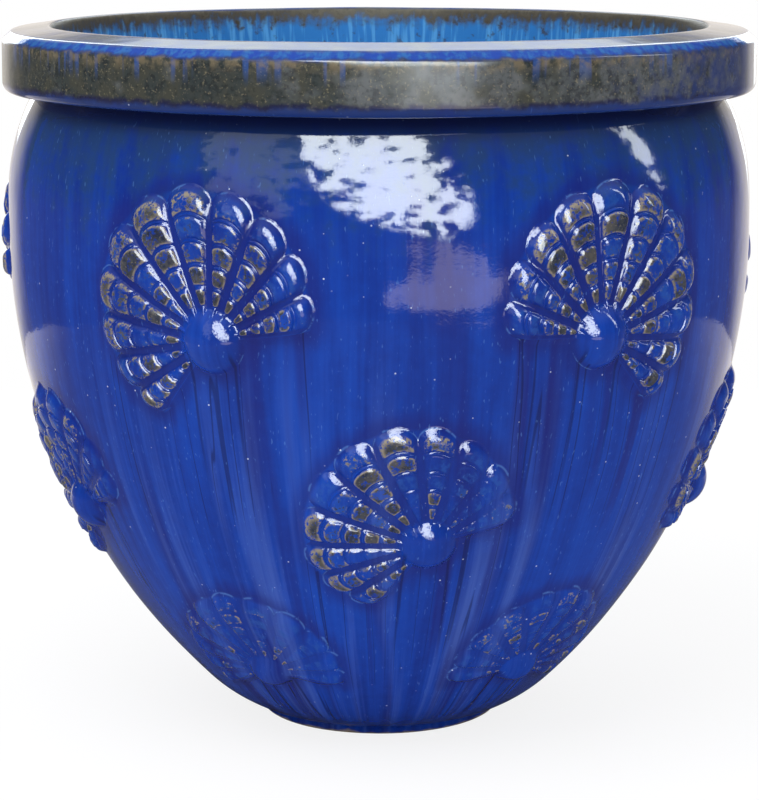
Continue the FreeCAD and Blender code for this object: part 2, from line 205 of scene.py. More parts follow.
def soft_outline(corners, step):
    """Closed outline through (radius, height, rounding) corners, with even steps between them."""
    spots = [Vector(corner[:2]) for corner in corners]
    arcs = []
    for index, corner in enumerate(corners):
        before, after = spots[index - 1], spots[(index + 1) % len(spots)]
        here = spots[index]
        arcs.append(rounded_corner(before, here, after, corner[2]) if corner[2] else [here])
    points = []
    for index, arc in enumerate(arcs):
        start, end = arc[-1], arcs[(index + 1) % len(arcs)][0]
        count = max(1, round((end - start).length / step))
        points += arc + [start.lerp(end, number / count) for number in range(1, count)]
    return [(point.x, point.y) for point in points]


def math_method(operation):
    """Method that puts a math node after a term."""
    return lambda term, *others: term.graph.math(operation, term, *others)


class Term:
    """A value in a node tree. Arithmetic on it adds math nodes."""

    def __init__(self, graph, socket):
        self.graph = graph
        self.socket = socket

    def __rsub__(self, other):
        return self.graph.math("SUBTRACT", other, self)

    def __neg__(self):
        return self * -1.0

    __add__ = __radd__ = math_method("ADD")
    __sub__ = math_method("SUBTRACT")
    __mul__ = __rmul__ = math_method("MULTIPLY")
    __truediv__ = math_method("DIVIDE")
    __pow__ = math_method("POWER")
    __abs__ = math_method("ABSOLUTE")
    floor = math_method("FLOOR")
    sign = math_method("SIGN")
    sine = math_method("SINE")
    cosine = math_method("COSINE")
    at_least = math_method("MAXIMUM")
    at_most = math_method("MINIMUM")
    above = math_method("GREATER_THAN")
    soft_union = math_method("SMOOTH_MAX")


class Graph:
    """A node tree that is written as formulas."""

    def __init__(self, tree):
        self.tree = tree

    def feed(self, socket, value):
        if isinstance(value, Term):
            value = value.socket
        if isinstance(value, bpy.types.NodeSocket):
            self.tree.links.new(value, socket)
        else:
            socket.default_value = value

    def node(self, kind, inputs=None, **settings):
        node = self.tree.nodes.new(kind)
        for name, value in settings.items():
            setattr(node, name, value)
        for key, value in (inputs or {}).items():
            self.feed(node.inputs[key], value)
        return node

    def term(self, kind, inputs=None, output=0, **settings):
        return Term(self, self.node(kind, inputs, **settings).outputs[output])

    def math(self, operation, *values):
        return self.term("ShaderNodeMath", dict(enumerate(values)), operation=operation)

    def vector(self, operation, *values):
        return self.term("ShaderNodeVectorMath", dict(enumerate(values)), operation=operation)

    def combine(self, x, y, z):
        return self.term("ShaderNodeCombineXYZ", {0: x, 1: y, 2: z})

    def split(self, vector):
        node = self.node("ShaderNodeSeparateXYZ", {0: vector})
        return [Term(self, socket) for socket in node.outputs]

    def noise(self, vector, scale=1.0, detail=2.0, roughness=0.5):
        inputs = {"Vector": vector, "Scale": scale, "Detail": detail, "Roughness": roughness}
        return self.term("ShaderNodeTexNoise", inputs)


def clamp(value):
    return value.graph.term("ShaderNodeClamp", {0: value})


def root(value):
    return value.graph.math("SQRT", value.at_least(0.0))


def ramp(value, start, end):
    """Smooth ramp from 0 at start to 1 at end; start may be the larger one."""
    inputs = {0: value, 1: start, 2: end}
    return value.graph.term("ShaderNodeMapRange", inputs, interpolation_type="SMOOTHSTEP")


def mix(share, first, second):
    """Colour between two colours."""
    graph = next(value.graph for value in (share, first, second) if isinstance(value, Term))
    return graph.term("ShaderNodeMix", {0: share, 6: first, 7: second}, 2, data_type="RGBA")


# Unevenness of clay thrown by hand
WOBBLE_SCALE = 7.0
WOBBLE_LIFT = 3.0 * MM
RING_SCALE = 38.0
RING_SQUEEZE = 0.15
RING_LIFT = 0.35 * MM
RISE_FROM = (5.0, 0.0, 0.0)  # read apart from the wobble
MERGE_DISTANCE = 0.005 * MM
TURNED_SHARP = 28 * DEGREE  # edges that stay sharp
SPRIG_SHARP = 80 * DEGREE


def hand_wobble(graph, place):
    """How far the thrown clay stands off its true outline at a place."""
    x, y, z = graph.split(place)
    broad = graph.noise(place, WOBBLE_SCALE, 1.0) - 0.5
    rings = graph.noise(graph.combine(x * RING_SQUEEZE, y * RING_SQUEEZE, z), RING_SCALE, 1.0) - 0.5
    return broad * WOBBLE_LIFT + rings * RING_LIFT


def new_tree(name, inputs):
    """Geometry tree with named inputs: its graph, and the inputs by name."""
    tree = bpy.data.node_groups.new(name, "GeometryNodeTree")
    for label, kind in {"Outline": "Geometry", **inputs, "Glaze": "Material"}.items():
        tree.interface.new_socket(name=label, in_out="INPUT", socket_type=f"NodeSocket{kind}")
    tree.interface.new_socket(name="Piece", in_out="OUTPUT", socket_type="NodeSocketGeometry")
    graph = Graph(tree)
    entry = graph.node("NodeGroupInput")
    return graph, {socket.name: Term(graph, socket) for socket in entry.outputs if socket.name}


def end_tree(graph, geometry, glaze, sharp_angle):
    """Close a tree: plain welded mesh, smooth faces that keep sharp edges, and its material."""
    plain = graph.term("GeometryNodeRealizeInstances", {0: geometry})
    welded = graph.term("GeometryNodeMergeByDistance", {"Geometry": plain, "Distance": MERGE_DISTANCE})
    smooth = graph.term("GeometryNodeSetShadeSmooth", {"Geometry": welded, "Shade Smooth": True})
    sharp = graph.term("GeometryNodeInputMeshEdgeAngle").above(sharp_angle)
    edges = {"Geometry": smooth, "Selection": sharp, "Shade Smooth": False}
    edged = graph.term("GeometryNodeSetShadeSmooth", edges, domain="EDGE")
    finished = graph.term("GeometryNodeSetMaterial", {"Geometry": edged, "Material": glaze})
    graph.node("NodeGroupOutput", {0: finished})
    return graph.tree


def marked(graph, geometry, marks):
    """Geometry that carries values at its points, each under its name."""
    for name, value in marks.items():
        inputs = {"Geometry": geometry, "Name": name, "Value": value}
        geometry = graph.term("GeometryNodeStoreNamedAttribute", inputs, data_type="FLOAT")
    return geometry


def turning_tree():
    """Tree that turns a closed outline about the axis, a little uneven as by hand."""
    graph, given = new_tree("turned_on_the_wheel", {"Steps around": "Int", "Rise and fall": "Float"})
    rows = graph.term("GeometryNodeAttributeDomainSize", {0: given["Outline"]})
    steps = given["Steps around"]
    grid = graph.term("GeometryNodeMeshGrid", {"Vertices X": steps + 1.0, "Vertices Y": rows + 1.0})
    index = graph.term("GeometryNodeInputIndex")
    column = ((index + 0.5) / (rows + 1.0)).floor()
    row = graph.math("FLOORED_MODULO", index - column * (rows + 1.0), rows)
    place = graph.term("GeometryNodeInputPosition")
    sample = {"Geometry": given["Outline"], "Value": place, "Index": row}
    corner = graph.term("GeometryNodeSampleIndex", sample, data_type="FLOAT_VECTOR")
    radius, _, height = graph.split(corner)
    around = column / steps * math.tau
    sine, cosine = around.sine(), around.cosine()
    ring = graph.combine(radius * sine, -radius * cosine, height)
    out = radius + hand_wobble(graph, ring)
    rise = height + hand_wobble(graph, graph.vector("ADD", ring, RISE_FROM)) * given["Rise and fall"]
    uneven_ring = graph.combine(out * sine, -out * cosine, rise)
    uneven = graph.term("GeometryNodeSetPosition", {"Geometry": grid, "Position": uneven_ring})
    return end_tree(graph, uneven, given["Glaze"], TURNED_SHARP)


# Shape of a sprig
HALF_SPREAD = FAN_SPREAD / 2
LOBE_WIDTH = FAN_SPREAD / LOBE_COUNT
FAN_START = 0.6  # where the fan starts, against the boss
HINGE_RELIEF = 0.5  # relief at the hinge, against the outer end
NOTCH = 0.13  # how much shorter a valley is than its lobes
VALLEY_WIDTH = 6.0 * MM  # flat bottom of a valley
LOBE_SHOULDER = 0.56  # a lobe's rounded sides, against half its width
BAND_GROWTH = 1.2  # bands lengthen outwards
NOSE_START = 0.75  # where a lobe's end begins to round over
NOSE_FULLNESS = 0.72  # 0.5 for a round end, 1 for a tapering one
GROOVE_DEPTH = 2.4 * MM  # between two pads of a lobe
GROOVE_WIDTH = 3.2 * MM
CORD_WIDTH = 1.6 * MM  # thin cord along the middle of a groove
CORD_RELIEF = 1.6 * MM
PAD_SHOULDER = 0.28  # a pad's rounded ends, against its length
PAD_VARIATION = 0.9 * MM  # pads pressed unevenly
CROWN_FLOOD = 0.45  # how far flooding glaze levels a crown
VALLEY_FLOOD = 0.3  # and fills a valley
PLUNGE = 0.8  # fall of the relief outside the sprig
GLAZE_FILLET = 7 * MM  # glaze that rounds the foot of the relief
BOSS_FILLET = 4 * MM
SKIRT = 10 * MM  # glaze around the sprig
SKIRT_SINK = 0.45 * MM
HEM_AWAY = 1.5 * MM  # pale line just outside the lobes
HEM_WIDTH = 1.3 * MM
HEM_CORE = 0.2  # its full strength, against its half width
BOSS_EDGE = 0.95  # start of the fan's glaze, against the boss
BOSS_CLEAR = 1.1  # and where it is full
SIDE_CLEAR = 0.5 * MM
THIN_BY_CHANCE = 0.7  # how thin the glaze is on a pad
THIN_AT_HINGE = 0.35
FLOOD_COVERS = 0.55
# Shares of a sprig's rows and columns
DOME_SHARE = 0.8  # of the boss, under its own rows
BOSS_ROWS = 0.18
EDGE_ROWS = 0.9
FAN_COLUMNS = 0.83
SIDE_MARGIN = 5 * DEGREE
SIDE_RETURN = 24 * DEGREE
FAN_EDGE = HALF_SPREAD + SIDE_MARGIN
SPRIG_NUMBERS = ("Azimuth", "Lean", "Boss length", "Scale", "Flood", "Flood to the right", "Seed")
SPRIG_INPUTS = {**dict.fromkeys(SPRIG_NUMBERS, "Float"), "Columns": "Int", "Rows": "Int"}


def sprig_grid(graph, columns, rows):
    """Grid with columns round the boss and rows out from it; row and angle of a point."""
    spacing = {"Size X": 2.0, "Size Y": 1.0, "Vertices X": columns, "Vertices Y": rows}
    grid = graph.term("GeometryNodeMeshGrid", spacing)
    x, y, _ = graph.split(graph.term("GeometryNodeInputPosition"))
    # Most columns lie in the fan, the rest go round the back of the boss
    in_fan = abs(x).at_most(FAN_COLUMNS) * (FAN_EDGE / FAN_COLUMNS)
    past_fan = (abs(x) - FAN_COLUMNS).at_least(0.0)
    spread = in_fan + past_fan * ((math.pi - FAN_EDGE) / (1 - FAN_COLUMNS))
    return grid, (y + 0.5) * (rows - 1.0), x.sign() * spread


def fan_reach(angle, inside, scale):
    """How far the fan reaches: a circle about a point above the boss, notched at the valleys."""
    offset = scale * BOSS_OFFSET
    chord = root((scale * FAN_RADIUS) ** 2.0 - (offset * angle.sine()) ** 2.0)
    notch = (1.0 - root(1.0 - inside * inside)) * NOTCH
    return (offset * angle.cosine() + chord) * (1.0 - notch)


def way_out(out, dome, edge):
    """Distance from the boss's middle: over the dome, the lobes, then the glaze around them."""
    to_fan = clamp(out / BOSS_ROWS)
    to_edge = clamp((out - BOSS_ROWS) / (EDGE_ROWS - BOSS_ROWS))
    to_rim = clamp((out - EDGE_ROWS) / (1 - EDGE_ROWS))
    return dome * to_fan + (edge - dome) * to_edge + to_rim * SKIRT


def rounded_side(share):
    """Quarter of a circle, from 0 at the side to 1 at the crown."""
    return root(share * (2.0 - share))


def pad_row(graph, bands, band_length, lobe, seed):
    """Pads along a lobe, a chance for each, and their relief, with a thin cord in each groove."""
    band = bands.floor()
    along = bands - band
    spot = {"Vector": graph.combine(lobe, band, 0.0), "W": seed}
    chance = graph.term("ShaderNodeTexWhiteNoise", spot, noise_dimensions="4D")
    from_groove = (0.5 - abs(along - 0.5)) * band_length
    pad = rounded_side(clamp((from_groove - GROOVE_WIDTH / 2) / (band_length * PAD_SHOULDER)))
    cord = ramp(from_groove, CORD_WIDTH / 2, 0.0) * CORD_RELIEF
    sunk = (1.0 - pad) * GROOVE_DEPTH - cord
    uneven = (chance - 0.5) * pad * (2 * PAD_VARIATION)
    return pad, chance, uneven - sunk - (1.0 - along) * BAND_STEP


def lobe_shape(share, inside, half_width):
    """Pillow across a lobe, beside valleys of even width, and the rounded nose at its end."""
    from_valley = (1.0 - inside) * half_width - VALLEY_WIDTH / 2
    pillow = rounded_side(clamp(from_valley / (half_width * LOBE_SHOULDER)))
    past_nose = (share - NOSE_START).at_least(0.0) / (1 - NOSE_START)
    return pillow, (1.0 - past_nose * past_nose) ** NOSE_FULLNESS


def domed_boss(distance, radius, relief):
    """Cap of a ball that falls away outside the boss."""
    ball = (radius ** 2.0 + relief ** 2.0) / (relief * 2.0)
    cap = root(ball ** 2.0 - distance ** 2.0)
    return cap - (ball - relief) - (distance - ball).at_least(0.0)


def laid_on_wall(graph, given, upwards, rightwards, lift):
    """Place on the wall, above and to the right of a boss, lifted square to the wall."""
    curve = graph.term("GeometryNodeMeshToCurve", {0: given["Outline"]})
    inputs = {"Curves": curve, "Length": given["Boss length"] + upwards - outline.foot_length}
    sample = graph.node("GeometryNodeSampleCurve", inputs, mode="LENGTH", use_all_curves=True)
    radius, _, height = graph.split(sample.outputs["Position"])
    lean_out, _, climb = graph.split(sample.outputs["Tangent"])
    around = given["Azimuth"] + rightwards / radius
    x, y = around.sine(), -around.cosine()
    out = radius + climb * lift + hand_wobble(graph, graph.combine(radius * x, radius * y, height))
    return graph.combine(out * x, out * y, height - lean_out * lift)


def sprig_tree():
    """Tree that lays a scallop shell on the wall: lobes of raised pads round a domed boss."""
    graph, given = new_tree("scallop_sprig", SPRIG_INPUTS)
    scale, rows = given["Scale"], given["Rows"]
    boss = scale * BOSS_RADIUS
    grid, row, angle = sprig_grid(graph, given["Columns"], rows)
    # The last two rows close the back
    below, centre = row.above(rows - 2.5), row.above(rows - 1.5)
    # Lobe at an angle: 0 on its crown, 1 in the valleys, more beside the fan
    across = (angle + HALF_SPREAD) / LOBE_WIDTH
    lobe = across.at_least(0.0).at_most(LOBE_COUNT - 0.001).floor()
    from_crown = abs((across - lobe) * 2.0 - 1.0)
    inside = from_crown.at_most(1.0)

    reach = fan_reach(angle, inside, scale)
    back = ramp(abs(angle), FAN_EDGE, FAN_EDGE + SIDE_RETURN)
    edge = reach * (1.0 - back) + boss * back
    distance = way_out(clamp(row / (rows - 3.0)), boss * DOME_SHARE, edge) * (1.0 - centre)
    turn = angle - given["Lean"]
    rightwards, upwards = distance * turn.sine(), distance * turn.cosine()
    one_sided = given["Flood to the right"] * rightwards / (scale * FAN_RADIUS)
    flood = clamp(given["Flood"] + one_sided)

    start = boss * FAN_START
    share = clamp((distance - start) / (reach - start))
    bands = share ** (1 / BAND_GROWTH) * BAND_COUNT
    pad, chance, detail = pad_row(graph, bands, (reach - start) / BAND_COUNT, lobe, given["Seed"])
    pillow, nose = lobe_shape(share, inside, distance * (LOBE_WIDTH / 2))
    rise = (share * (1 - HINGE_RELIEF) + HINGE_RELIEF) * scale
    crown = rise * LOBE_RELIEF * (1.0 - flood * CROWN_FLOOD)
    valley = rise * VALLEY_RELIEF * (1.0 + flood * VALLEY_FLOOD)
    lobes = (valley + (crown - valley + detail * rise * (1.0 - flood)) * pillow) * nose
    beside = (from_crown - 1.0).at_least(0.0) * distance * (LOBE_WIDTH / 2)
    fan = lobes - ((distance - reach).at_least(0.0) + beside) * PLUNGE
    relief = fan.soft_union(domed_boss(distance, boss, scale * BOSS_RELIEF), BOSS_FILLET)
    glazed = relief.soft_union(-SKIRT_SINK, GLAZE_FILLET)
    lift = glazed * (1.0 - below) - below * SPRIG_KEY

    on_fan = ramp(distance, boss * BOSS_EDGE, boss * BOSS_CLEAR) * ramp(beside, SIDE_CLEAR, 0.0)
    marks = {
        "pad": pillow * pad * nose * on_fan,
        "thin": chance * THIN_BY_CHANCE + (1.0 - share) * THIN_AT_HINGE - flood * FLOOD_COVERS,
        "valley": (1.0 - pillow) * on_fan * (1.0 - flood),
        "hem": ramp(abs(distance - edge - HEM_AWAY), HEM_WIDTH, HEM_WIDTH * HEM_CORE),
    }
    place = laid_on_wall(graph, given, upwards, rightwards, lift)
    moved = {"Geometry": marked(graph, grid, marks), "Position": place}
    shell = graph.term("GeometryNodeSetPosition", moved)
    return end_tree(graph, shell, given["Glaze"], SPRIG_SHARP)


def places_of(mesh):
    """Places of a mesh's points, one in each row."""
    places = np.empty(len(mesh.vertices) * 3, dtype=np.float32)
    mesh.vertices.foreach_get("co", places)
    return places.reshape(-1, 3).astype(float)


def turn_outward(mesh):
    """Flip the faces of a closed mesh that encloses a negative volume."""
    mesh.calc_loop_triangles()
    corners = np.empty(len(mesh.loop_triangles) * 3, dtype=np.int32)
    mesh.loop_triangles.foreach_get("vertices", corners)
    a, b, c = places_of(mesh)[corners.reshape(-1, 3)].transpose(1, 0, 2)
    if (a * np.cross(b, c)).sum() < 0:
        mesh.flip_normals()


def in_scene(name, data):
    thing = bpy.data.objects.new(name, data)
    bpy.context.scene.collection.objects.link(thing)
    return thing


def grow(name, tree, points, loop, settings):
    """Piece that a tree grows from an outline of (radius, height) points, as a plain mesh."""
    seed_mesh = bpy.data.meshes.new(name)
    edges = [(index, index + 1) for index in range(len(points) - 1)]
    edges += [(len(points) - 1, 0)] if loop else []
    seed_mesh.from_pydata([(radius, 0.0, height) for radius, height in points], edges, [])
    piece = in_scene(name, seed_mesh)
    modifier = piece.modifiers.new("grow", "NODES")
    modifier.node_group = tree
    for socket in tree.interface.items_tree:
        if socket.in_out == "INPUT" and socket.name in settings:
            modifier[socket.identifier] = settings[socket.name]
    evaluated = piece.evaluated_get(bpy.context.evaluated_depsgraph_get())
    piece.data = bpy.data.meshes.new_from_object(evaluated)
    piece.modifiers.clear()
    bpy.data.meshes.remove(seed_mesh)
    turn_outward(piece.data)
    return piece


def inner_wall():
    """Inner face of the wall, from the neck down to the floor."""
    upper = outline.stretch(outline.neck_length, 0.0, INNER_STEP)
    points = [(radius - WALL_THICKNESS, height) for radius, height in upper]
    bend = outline.flank_radius - WALL_THICKNESS
    end = math.asin((FLOOR_HEIGHT - outline.belly_height) / bend)
    count = round(-end * bend / INNER_STEP)
    for number in range(1, count + 1):
        angle = end * number / count
        radius = outline.flank_centre[0] + bend * math.cos(angle)
        points.append((radius, outline.belly_height + bend * math.sin(angle)))
    return points


wall_points = outline.stretch(FLOOR_LENGTH, outline.neck_length, OUTER_STEP) + inner_wall()
rim_inside = BELLY_RADIUS - NECK_INSET - WALL_THICKNESS
rim_points = soft_outline((
    (rim_inside, NECK_HEIGHT, 0.0),
    (RIM_RADIUS, NECK_HEIGHT, RIM_ROUND),
    (RIM_RADIUS, RIM_TOP - RIM_FALL - RIM_BEVEL_DROP, ARRIS_ROUND),
    (RIM_RADIUS - RIM_BEVEL, RIM_TOP - RIM_FALL, ARRIS_ROUND),
    (rim_inside + RIM_FLARE, RIM_TOP, LIP_ROUND),
), RIM_STEP)
ring_inside = FOOT_RADIUS - FOOT_RING_WIDTH
slab_points = soft_outline((
    (DRAIN_RADIUS, RECESS_DEPTH, ARRIS_ROUND),
    (ring_inside, RECESS_DEPTH, ARRIS_ROUND),
    (ring_inside, 0.0, ARRIS_ROUND),
    (FOOT_RADIUS, 0.0, ARRIS_ROUND),
    (FOOT_RADIUS, FOOT_HEIGHT, 0.0),
    *((*point, 0.0) for point in outline.stretch(outline.foot_length, FLOOR_LENGTH, RIM_STEP)[1:]),
    (DRAIN_RADIUS, FLOOR_HEIGHT, ARRIS_ROUND),
), RIM_STEP)


# Glaze that gathers round a sprig and runs from it
RUN_LENGTH = 170 * MM
RUN_FADE = 25 * MM  # runs weaken towards the sprig's sides
RUN_OVERLAP = 4 * MM  # and start under its border
BOSS_RUN = 200 * MM
BORDER_POINTS = 361
SIDE_POINTS = 40
SIDE_CORNER = 2 * DEGREE
BORDER_SKIP = 3  # gaps are measured to every third point
RUN_COLUMNS = 141
COLUMNS_REACH = FAN_RADIUS * 1.4
COLUMN_WIDTH = 4 * MM
FAR = 60 * MM  # gap where no sprig is near
CLOSE = 90 * MM  # gaps that are measured to the border's points
NEAR_SIDE = 250 * MM  # what a sprig's glaze can reach
NEAR_HEIGHT = 360 * MM
LEAST_RADIUS = 50 * MM


class Shell:
    """Flat map of a sprig's border, for the glaze round it and below it."""

    def __init__(self, row, azimuth, lean):
        self.azimuth = azimuth * DEGREE
        self.lean = lean * DEGREE
        self.length = ROW_LENGTHS[row]
        self.scale = ROW_SCALES[row]
        self.angles = np.linspace(-math.pi, math.pi, BORDER_POINTS)
        offset = BOSS_OFFSET * self.scale
        chord = np.sqrt((FAN_RADIUS * self.scale) ** 2 - (offset * np.sin(self.angles)) ** 2)
        beside = np.abs(self.angles) > HALF_SPREAD
        self.reach = np.where(beside, BOSS_RADIUS * self.scale, offset * np.cos(self.angles) + chord)
        self.border = self.border_points()
        # Lowest point of the border across the sprig
        self.columns = np.linspace(-COLUMNS_REACH, COLUMNS_REACH, RUN_COLUMNS)
        near = np.abs(self.border[:, 0][None] - self.columns[:, None]) < COLUMN_WIDTH
        self.lowest = np.where(near, self.border[:, 1][None], np.inf).min(axis=1)

    def border_points(self):
        """Points all round the sprig, then along both straight sides of the fan."""
        corner = np.interp(HALF_SPREAD - SIDE_CORNER, self.angles, self.reach)
        side = np.linspace(BOSS_RADIUS * self.scale, corner, SIDE_POINTS)
        sides = np.repeat((HALF_SPREAD, -HALF_SPREAD), SIDE_POINTS)
        turned = np.concatenate((self.angles, sides)) - self.lean
        away = np.concatenate((self.reach, side, side))
        return np.stack((away * np.sin(turned), away * np.cos(turned)), axis=1)

    def local(self, azimuths, lengths, radii):
        """Places to the right of the boss and above it."""
        turn = (azimuths - self.azimuth + math.pi) % math.tau - math.pi
        return turn * radii, lengths - self.length

    def gap(self, right, above):
        """Distance outside the border, negative on the sprig."""
        angle = (np.arctan2(right, above) + self.lean + math.pi) % math.tau - math.pi
        result = np.hypot(right, above) - np.interp(angle, self.angles, self.reach)
        close = np.abs(result) < CLOSE
        spots = np.stack((right[close], above[close]), axis=1)
        away = np.full(len(spots), np.inf)
        for point in self.border[::BORDER_SKIP]:
            away = np.minimum(away, np.hypot(*(spots - point).T))
        result[close] = np.where(result[close] > 0, np.minimum(away, result[close]), result[close])
        return result

    def run(self, right, above):
        """Strength of the runs below the sprig: 1 at its border, 0 at their ends."""
        known = np.isfinite(self.lowest)
        under = self.columns[known]
        drop = np.interp(right, under, self.lowest[known]) - above
        inset = np.minimum(right - under[0], under[-1] - right)
        fade = np.clip(inset / RUN_FADE, 0.0, 1.0)
        strength = np.clip(1 - drop / (RUN_LENGTH * self.scale), 0.0, 1.0) * fade
        return np.where(drop > -RUN_OVERLAP, strength, 0.0)


SHELLS = [Shell(row, *values[:2]) for row, sprigs in SHELL_ROWS.items() for values in sprigs]


def map_glaze(piece):
    """Write the gap to the nearest sprig, the runs, what is inside, and the place below a boss."""
    x, y, z = places_of(piece.data).T
    radii, azimuths = np.hypot(x, y), np.arctan2(x, -y)
    lengths = outline.length_at(z)
    gap, run = np.full(len(x), FAR), np.zeros(len(x))
    boss_right, boss_drop = np.ones(len(x)), np.ones(len(x))
    for shell in SHELLS:
        right, above = shell.local(azimuths, lengths, np.maximum(radii, LEAST_RADIUS))
        near = (np.abs(right) < NEAR_SIDE) & (np.abs(above) < NEAR_HEIGHT)
        gap[near] = np.minimum(gap[near], shell.gap(right[near], above[near]))
        run[near] = np.maximum(run[near], shell.run(right[near], above[near]))
        under = near & (above < 0) & (above > -BOSS_RUN) & (np.abs(right) < np.abs(boss_right))
        boss_right[under], boss_drop[under] = right[under], -above[under]
    profile = outline.stretch(outline.foot_length, outline.neck_length, OUTER_STEP)
    outer_radii, heights = zip(*profile)
    inside = radii < np.interp(z, heights, outer_radii) - WALL_THICKNESS / 2
    marks = {"shell_gap": gap, "run": run, "inside": inside}
    for name, values in {**marks, "boss_right": boss_right, "boss_drop": boss_drop}.items():
        attribute = piece.data.attributes.new(name, "FLOAT", "POINT")
        attribute.data.foreach_set("value", np.ascontiguousarray(values, dtype=np.float32))


# Body and skin of the glazes
GLAZE_IOR = 1.56
CLAY_IOR = 1.5
SKIN_DEPTH = 0.35 * MM
SWAY = 9 * MM  # how far streaks wander to the side
SWAY_WIDTH = 50 * MM
SWAY_LENGTH = 160 * MM


class Glaze:
    """A glaze material written as formulas, with coordinates that run down the pot."""

    def __init__(self, name, roughness, ior=GLAZE_IOR):
        self.material = bpy.data.materials.new(name)
        self.material.use_nodes = True
        self.graph = graph = Graph(self.material.node_tree)
        self.surface = self.material.node_tree.nodes["Principled BSDF"]
        self.set("Roughness", roughness)
        self.set("IOR", ior)
        self.place = graph.term("ShaderNodeTexCoord", output="Object")
        x, y, self.height = graph.split(self.place)
        self.radius = root(x * x + y * y)
        near = self.radius.at_least(1 * MM)
        self.x, self.y = x / near * BELLY_RADIUS, y / near * BELLY_RADIUS
        warped = graph.combine(self.x / SWAY_WIDTH, self.y / SWAY_WIDTH, self.height / SWAY_LENGTH)
        self.sway = (graph.noise(warped, 1.0, 1.0) - 0.5) * SWAY
        self.broad = self.streak(60, 450, 3.0)
        self.middle = self.streak(15, 260, 7.0)
        self.fine = self.streak(3.2, 90, 11.0)
        self.broken = self.mottle(11, 2.6)
        self.tone = self.broad * 0.48 + self.middle * 0.27 + self.fine * 0.13 + self.broken * 0.12

    def mark(self, name):
        return self.graph.term("ShaderNodeAttribute", output="Fac", attribute_name=name)

    def set(self, name, value):
        self.graph.feed(self.surface.inputs[name], value)

    def streak(self, width, length, seed, detail=2.0):
        """Noise drawn out down the pot; sizes in millimetres."""
        x = (self.x + self.sway) / (width * MM) + seed
        y = (self.y + self.sway) / (width * MM)
        return self.graph.noise(self.graph.combine(x, y, self.height / (length * MM)), 1.0, detail)

    def mottle(self, size, seed, detail=3.0):
        """Noise that is the same in every direction; size in millimetres."""
        moved = self.graph.vector("ADD", self.place, (seed, 0.0, 0.0))
        return self.graph.noise(moved, 1 / (size * MM), detail, 0.6)

    def specks(self, size, share, seed):
        """Small round specks, in a share of cells of a size in millimetres."""
        graph = self.graph
        moved = graph.vector("ADD", self.place, (seed, 0.0, 0.0))
        cells = graph.node("ShaderNodeTexVoronoi", {"Vector": moved, "Scale": 1 / (size * MM)})
        chance = graph.split(cells.outputs["Color"])[0]
        spot = ramp(Term(graph, cells.outputs["Distance"]), 0.16, 0.06)
        return spot * ramp(chance, share, share * 0.8)

    def finish(self, colour):
        """Material of this colour, with a skin of slow waves, drawn-out runs and orange peel."""
        self.set("Base Color", colour)
        waves, peel = self.mottle(28, 5.3, 1.0), self.mottle(3, 6.1, 1.0)
        height = waves * 0.55 + self.tone * 0.35 + peel * 0.06
        skin = {"Distance": SKIN_DEPTH, "Height": height}
        self.set("Normal", self.graph.term("ShaderNodeBump", skin))
        return self.material


# Colours of the glazes, linear
DEEP_BLUE = (0.0050, 0.024, 0.215, 1)
BRIGHT_BLUE = (0.006, 0.052, 0.37, 1)
INDIGO = (0.010, 0.013, 0.145, 1)
NAVY = (0.005, 0.006, 0.045, 1)
LILAC = (0.075, 0.135, 0.43, 1)
PALE_BLUE = (0.10, 0.24, 0.60, 1)
TEAL_GREY = (0.014, 0.042, 0.120, 1)
PAD_BLUE = (0.020, 0.085, 0.34, 1)
BEVEL_BLUE = (0.022, 0.14, 0.42, 1)
STONE_BLUE = (0.045, 0.072, 0.20, 1)
OLIVE = (0.036, 0.039, 0.030, 1)
BRONZE = (0.085, 0.076, 0.048, 1)
SLATE = (0.032, 0.040, 0.040, 1)
MOSS = (0.046, 0.048, 0.038, 1)
SOOT = (0.008, 0.010, 0.014, 1)
TAN = (0.30, 0.25, 0.15, 1)
TAUPE = (0.13, 0.14, 0.15, 1)
DRIFT = (0.090, 0.098, 0.105, 1)
OCHRE = (0.20, 0.155, 0.090, 1)
TURQUOISE = (0.025, 0.18, 0.50, 1)
AQUA = (0.12, 0.42, 0.78, 1)
UMBER = (0.045, 0.036, 0.024, 1)
LIP_BROWN = (0.11, 0.10, 0.075, 1)
WHITE = (0.70, 0.78, 0.90, 1)
CLAY = (0.30, 0.23, 0.16, 1)


def streaky_cobalt(glaze):
    """Cobalt with purple bands, lilac veils low down and greyer teal under the rim."""
    colour = mix(ramp(glaze.tone, 0.36, 0.64), DEEP_BLUE, BRIGHT_BLUE)
    purple = glaze.streak(38, 360, 23.0)
    colour = mix(ramp(purple, 0.54, 0.72) * 0.6, colour, INDIGO)
    veil = glaze.streak(34, 400, 19.0) * 0.65 + glaze.fine * 0.15 + glaze.middle * 0.2
    low = ramp(glaze.height, 0.42, 0.16)
    colour = mix(ramp(veil, 0.48, 0.7) * low * 0.55, colour, LILAC)
    # Under the rim the glaze is thin and broken
    level = glaze.height + (glaze.middle - 0.5) * 0.15 + (glaze.broken - 0.5) * 0.14
    return mix(ramp(level, 0.44, 0.545) * 0.85, colour, TEAL_GREY)


